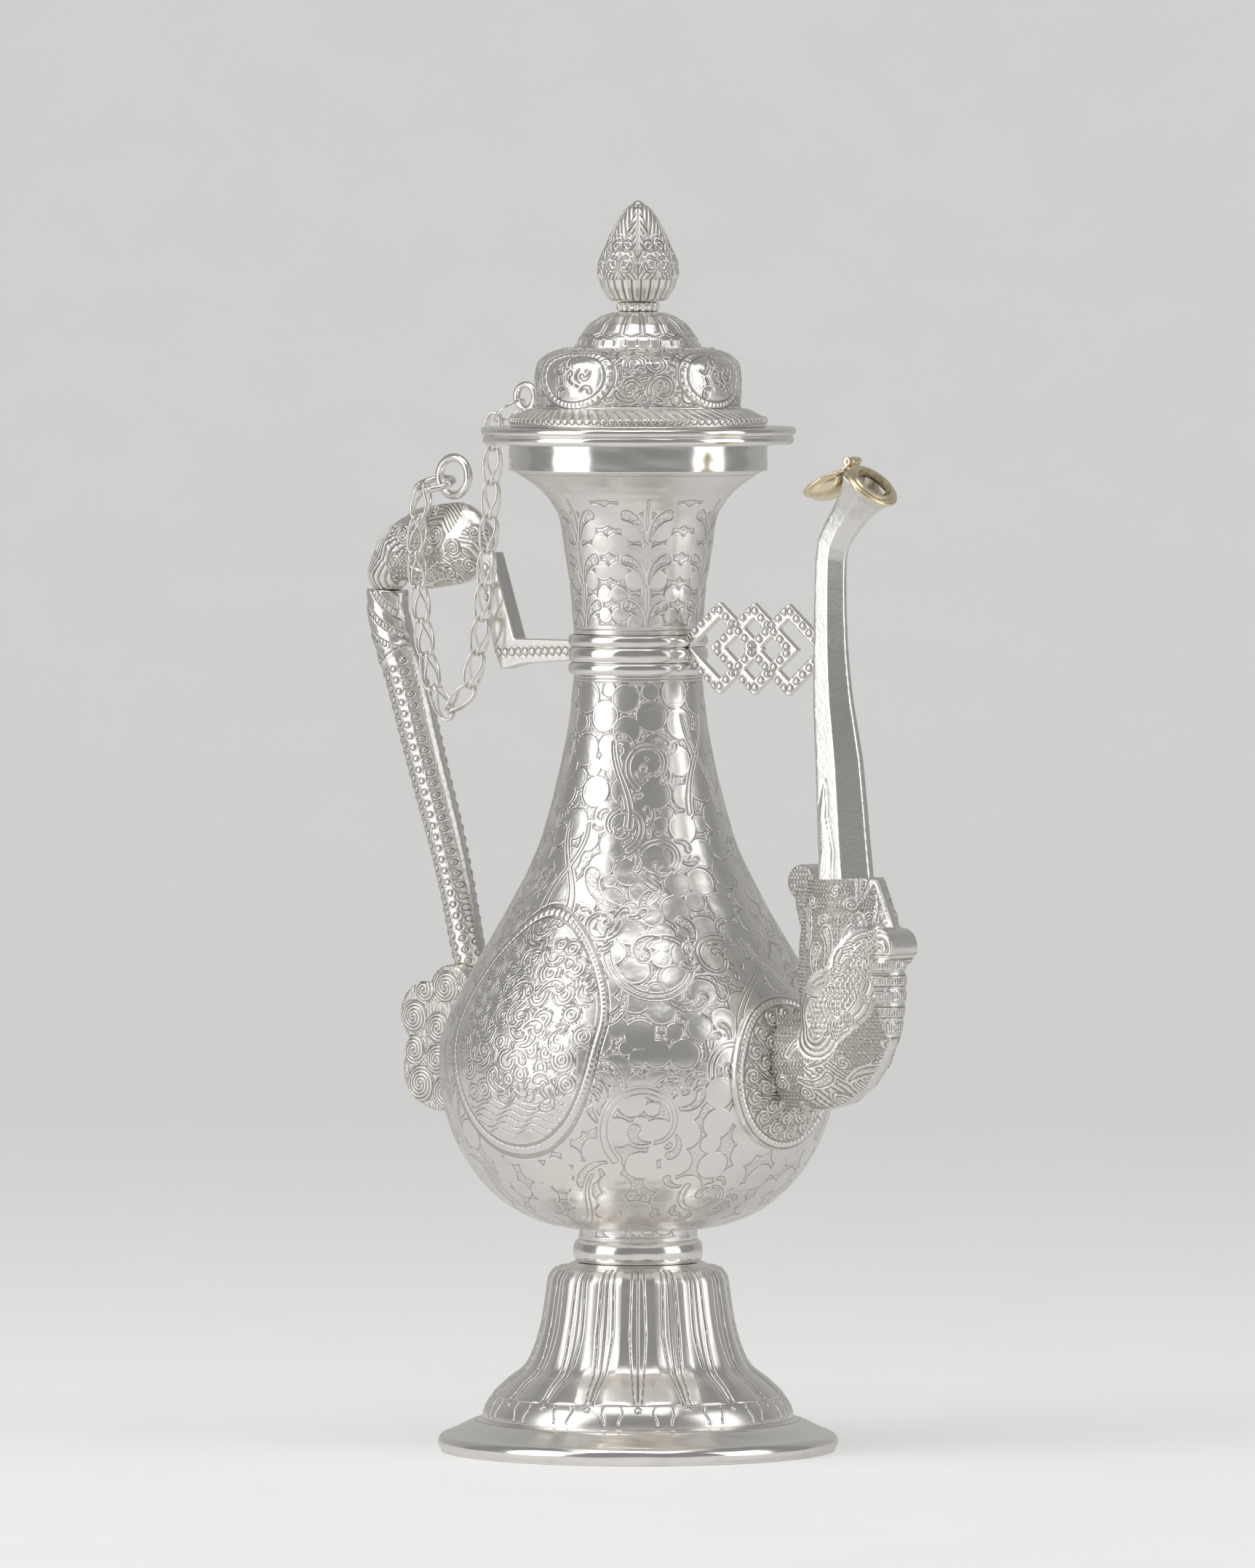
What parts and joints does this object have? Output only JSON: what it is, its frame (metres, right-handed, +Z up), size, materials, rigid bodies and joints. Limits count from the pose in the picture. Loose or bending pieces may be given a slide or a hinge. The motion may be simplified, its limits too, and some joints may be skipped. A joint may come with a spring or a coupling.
{
  "type": "ewer",
  "caption": "Tall footed silver ewer with a round body, narrow neck, beast handle, standing side spout with a hinged cap, and a knobbed lid on a safety chain.",
  "frame": {"origin": "centre of the foot ring on the plane it stands on", "axes": "+Z up the axis of the body, +X towards the spout, handle on the -X side"},
  "size_m": [0.2056, 0.1186, 0.37],
  "materials": {
    "engraved_silver": "satin",
    "polished_silver": "polished",
    "brushed_silver": "brushed",
    "gilt": "satin"
  },
  "bodies": {
    "pot": {"foot_rim": "engraved_silver", "foot_step": "engraved_silver", "foot_bell": "engraved_silver", "foot_collar": "engraved_silver", "body_bowl": "engraved_silver", "neck_wire_lower": "polished_silver", "neck_band": "polished_silver", "neck_wire_upper": "polished_silver", "neck_flare": "engraved_silver", "mouth_cup": "engraved_silver", "mouth_rim": "polished_silver", "handle_root": "engraved_silver", "handle_grip": "engraved_silver", "handle_head": "engraved_silver", "handle_arm": "engraved_silver", "handle_ring": "polished_silver", "spout_medallion": "engraved_silver", "spout_elbow": "engraved_silver", "spout_tube": "brushed_silver", "spout_rim": "gilt", "spout_cap_pin": "polished_silver", "knot_brace": "polished_silver"},
    "lid": {"lid_plate": "polished_silver", "lid_plug": "polished_silver", "lid_base_ring": "engraved_silver", "lid_drum": "engraved_silver", "lid_dome": "engraved_silver", "finial_collar": "polished_silver", "finial_bud": "engraved_silver", "finial_stem": "gilt", "finial_washer": "gilt", "lid_eye": "polished_silver"},
    "spout_cap": {"spout_cap": "gilt"},
    "jump_ring": {"jump_ring": "polished_silver"},
    "chain_1": {"chain_link_1": "polished_silver"},
    "chain_2": {"chain_link_2": "polished_silver"},
    "chain_3": {"chain_link_3": "polished_silver"},
    "chain_4": {"chain_link_4": "polished_silver"},
    "chain_5": {"chain_link_5": "polished_silver"},
    "chain_6": {"chain_link_6": "polished_silver"},
    "chain_7": {"chain_link_7": "polished_silver"},
    "chain_8": {"chain_link_8": "polished_silver"},
    "chain_9": {"chain_link_9": "polished_silver"},
    "chain_10": {"chain_link_10": "polished_silver"},
    "chain_11": {"chain_link_11": "polished_silver"},
    "chain_12": {"chain_link_12": "polished_silver"},
    "chain_13": {"chain_link_13": "polished_silver"},
    "chain_14": {"chain_link_14": "polished_silver"},
    "chain_15": {"chain_link_15": "polished_silver"},
    "chain_16": {"chain_link_16": "polished_silver"},
    "chain_end": {"chain_end_ring": "polished_silver"}
  },
  "joints": [
    {"name": "lid_lift", "type": "slide", "parent": "pot", "child": "lid", "axis": [0, 0, 1], "range_m": [0, 0.012]},
    {"name": "spout_cap_turn", "type": "hinge", "parent": "pot", "child": "spout_cap", "pos_m": [0.08158, 0, 0.29387], "axis": [0, 1, 0], "range_deg": [0, 250]},
    {"name": "jump_ring_swing", "type": "hinge", "parent": "pot", "child": "jump_ring", "pos_m": [-0.0771, 0, 0.28545], "axis": [1, 0, 0], "range_deg": [-0.5, 2.5]},
    {"name": "chain_1_bend", "type": "hinge", "parent": "jump_ring", "child": "chain_1", "pos_m": [-0.07701, -0.0071, 0.28629], "axis": [1, 0, 0], "range_deg": [-3.5, 0.5]},
    {"name": "chain_2_bend", "type": "hinge", "parent": "chain_1", "child": "chain_2", "pos_m": [-0.07732, -0.00954, 0.2764], "axis": [1, 0, 0], "range_deg": [-0.5, 1.5]},
    {"name": "chain_3_bend", "type": "hinge", "parent": "chain_2", "child": "chain_3", "pos_m": [-0.07752, -0.01077, 0.26627], "axis": [-0.1694, 0.9855, 0], "range_deg": [-4.04, 0.5]},
    {"name": "chain_4_bend", "type": "hinge", "parent": "chain_3", "child": "chain_4", "pos_m": [-0.0767, -0.01063, 0.25611], "axis": [-0.1694, 0.9855, 0], "range_deg": [-0.5, 3.64]},
    {"name": "chain_5_bend", "type": "hinge", "parent": "chain_4", "child": "chain_5", "pos_m": [-0.07566, -0.01045, 0.24596], "axis": [-0.1694, 0.9855, 0], "range_deg": [-4.82, 0.5]},
    {"name": "chain_6_bend", "type": "hinge", "parent": "chain_5", "child": "chain_6", "pos_m": [-0.07423, -0.01021, 0.23586], "axis": [-0.1694, 0.9855, 0], "range_deg": [-4.46, 0.5]},
    {"name": "chain_7_bend", "type": "hinge", "parent": "chain_6", "child": "chain_7", "pos_m": [-0.07198, -0.00982, 0.22592], "axis": [-0.1694, 0.9855, 0], "range_deg": [-47.21, 0.5]},
    {"name": "chain_8_bend", "type": "hinge", "parent": "chain_7", "child": "chain_8", "pos_m": [-0.06695, -0.00895, 0.21709], "axis": [-0.1694, 0.9855, 0], "range_deg": [-0.5, 26.43]},
    {"name": "chain_9_bend", "type": "hinge", "parent": "chain_8", "child": "chain_9", "pos_m": [-0.05941, -0.00766, 0.22383], "axis": [-0.1694, 0.9855, 0], "range_deg": [-0.5, 23.72]},
    {"name": "chain_10_bend", "type": "hinge", "parent": "chain_9", "child": "chain_10", "pos_m": [-0.05665, -0.00718, 0.23364], "axis": [-0.1694, 0.9855, 0], "range_deg": [-0.5, 3.94]},
    {"name": "chain_11_bend", "type": "hinge", "parent": "chain_10", "child": "chain_11", "pos_m": [-0.05502, -0.0069, 0.2437], "axis": [-0.1694, 0.9855, 0], "range_deg": [-2.8, 0.5]},
    {"name": "chain_12_bend", "type": "hinge", "parent": "chain_11", "child": "chain_12", "pos_m": [-0.05388, -0.00671, 0.25384], "axis": [-0.1694, 0.9855, 0], "range_deg": [-0.5, 4.46]},
    {"name": "chain_13_bend", "type": "hinge", "parent": "chain_12", "child": "chain_13", "pos_m": [-0.05299, -0.00656, 0.264], "axis": [-0.1694, 0.9855, 0], "range_deg": [-3.65, 0.5]},
    {"name": "chain_14_bend", "type": "hinge", "parent": "chain_13", "child": "chain_14", "pos_m": [-0.05228, -0.00643, 0.27417], "axis": [-0.1694, 0.9855, 0], "range_deg": [-0.5, 4.12]},
    {"name": "chain_15_bend", "type": "hinge", "parent": "chain_14", "child": "chain_15", "pos_m": [-0.05167, -0.00633, 0.28435], "axis": [-0.1694, 0.9855, 0], "range_deg": [-3.81, 0.5]},
    {"name": "chain_16_bend", "type": "hinge", "parent": "chain_15", "child": "chain_16", "pos_m": [-0.05115, -0.00624, 0.29454], "axis": [-0.1694, 0.9855, 0], "range_deg": [-0.5, 7.46]},
    {"name": "chain_end_bend", "type": "hinge", "parent": "chain_16", "child": "chain_end", "pos_m": [-0.05069, -0.00616, 0.30473], "axis": [-0.1694, 0.9855, 0], "range_deg": [-3.47, 0.5]}
  ],
  "couplings": [
    {"joint": "jump_ring_swing", "follows": "lid_lift", "rad_per_m": 2.9089},
    {"joint": "chain_1_bend", "follows": "lid_lift", "rad_per_m": -4.3633},
    {"joint": "chain_2_bend", "follows": "lid_lift", "rad_per_m": 1.4544},
    {"joint": "chain_3_bend", "follows": "lid_lift", "rad_per_m": -5.1532},
    {"joint": "chain_4_bend", "follows": "lid_lift", "rad_per_m": 4.563},
    {"joint": "chain_5_bend", "follows": "lid_lift", "rad_per_m": -6.2809},
    {"joint": "chain_6_bend", "follows": "lid_lift", "rad_per_m": -5.7637},
    {"joint": "chain_7_bend", "follows": "lid_lift", "rad_per_m": -67.941},
    {"joint": "chain_8_bend", "follows": "lid_lift", "rad_per_m": 37.715},
    {"joint": "chain_9_bend", "follows": "lid_lift", "rad_per_m": 33.773},
    {"joint": "chain_10_bend", "follows": "lid_lift", "rad_per_m": 4.9973},
    {"joint": "chain_11_bend", "follows": "lid_lift", "rad_per_m": -3.3514},
    {"joint": "chain_12_bend", "follows": "lid_lift", "rad_per_m": 5.7632},
    {"joint": "chain_13_bend", "follows": "lid_lift", "rad_per_m": -4.5758},
    {"joint": "chain_14_bend", "follows": "lid_lift", "rad_per_m": 5.2643},
    {"joint": "chain_15_bend", "follows": "lid_lift", "rad_per_m": -4.822},
    {"joint": "chain_16_bend", "follows": "lid_lift", "rad_per_m": 10.127},
    {"joint": "chain_end_bend", "follows": "lid_lift", "rad_per_m": -4.3153}
  ]
}
